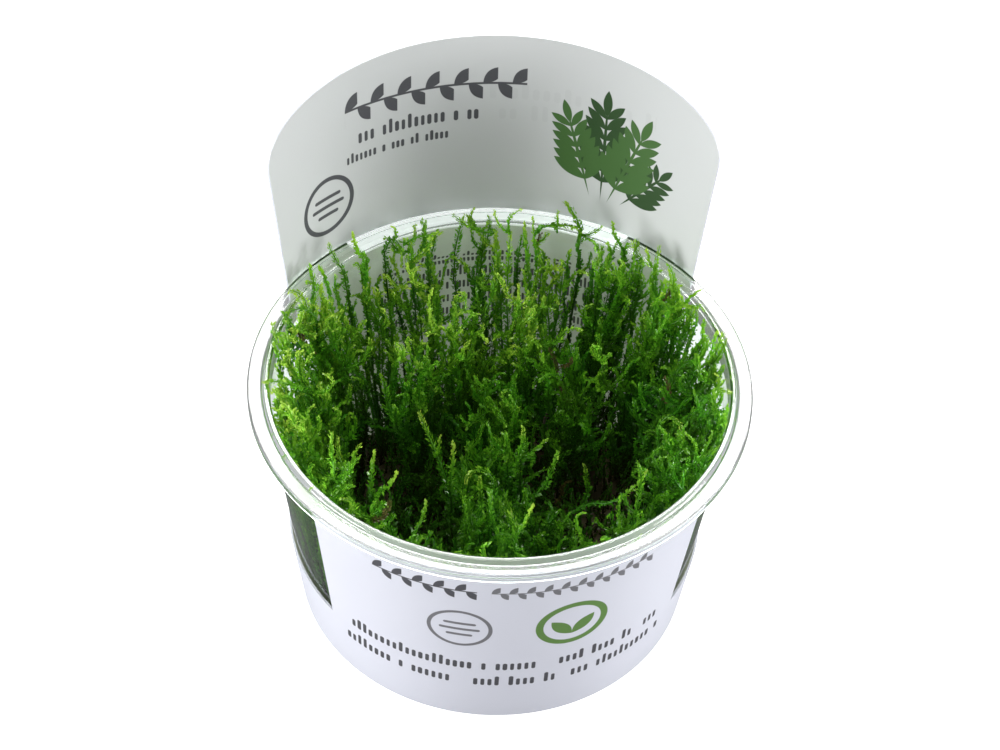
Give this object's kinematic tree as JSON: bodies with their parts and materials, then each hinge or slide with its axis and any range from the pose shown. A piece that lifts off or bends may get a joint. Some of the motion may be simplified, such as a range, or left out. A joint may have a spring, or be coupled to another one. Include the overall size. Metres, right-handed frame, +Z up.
{
  "type": "tissue culture moss in a clear cup",
  "caption": "Open clear plastic cup with a flange, holding gel and a dense stand of upright aquarium moss, wrapped in a card sleeve with a tall rounded header.",
  "frame": {"origin": "centre of the cup's flat underside", "axes": "+Z up along the cup's axis, +Y towards the tall header of the card sleeve, +X to the right seen from the front"},
  "size_m": [0.1, 0.1062, 0.0996],
  "materials": {
    "clear_plastic": "thin clear moulded plastic with a faint grey green tint, smooth and glossy",
    "printed_card": "white coated card, satin, with plain dark grey and leaf green print",
    "gel": "pale cloudy growing gel with a wet surface",
    "moss": "moist fine leaves, bright yellow green at the tips and dark green below, brown at the foot"
  },
  "bodies": {
    "root": {"cup": "clear_plastic", "sleeve": "printed_card", "gel": "gel", "moss_01": "moss", "moss_02": "moss", "moss_03": "moss", "moss_04": "moss", "moss_05": "moss", "moss_06": "moss", "moss_07": "moss", "moss_08": "moss", "moss_09": "moss", "moss_10": "moss", "moss_11": "moss", "moss_12": "moss", "moss_13": "moss", "moss_14": "moss", "moss_15": "moss", "moss_16": "moss", "moss_17": "moss", "moss_18": "moss", "moss_19": "moss", "moss_20": "moss", "moss_21": "moss", "moss_22": "moss", "moss_23": "moss", "moss_24": "moss", "moss_25": "moss", "moss_26": "moss", "moss_27": "moss", "moss_28": "moss", "moss_29": "moss", "moss_30": "moss", "moss_31": "moss", "moss_32": "moss", "moss_33": "moss", "moss_34": "moss", "moss_35": "moss"}
  },
  "joints": []
}
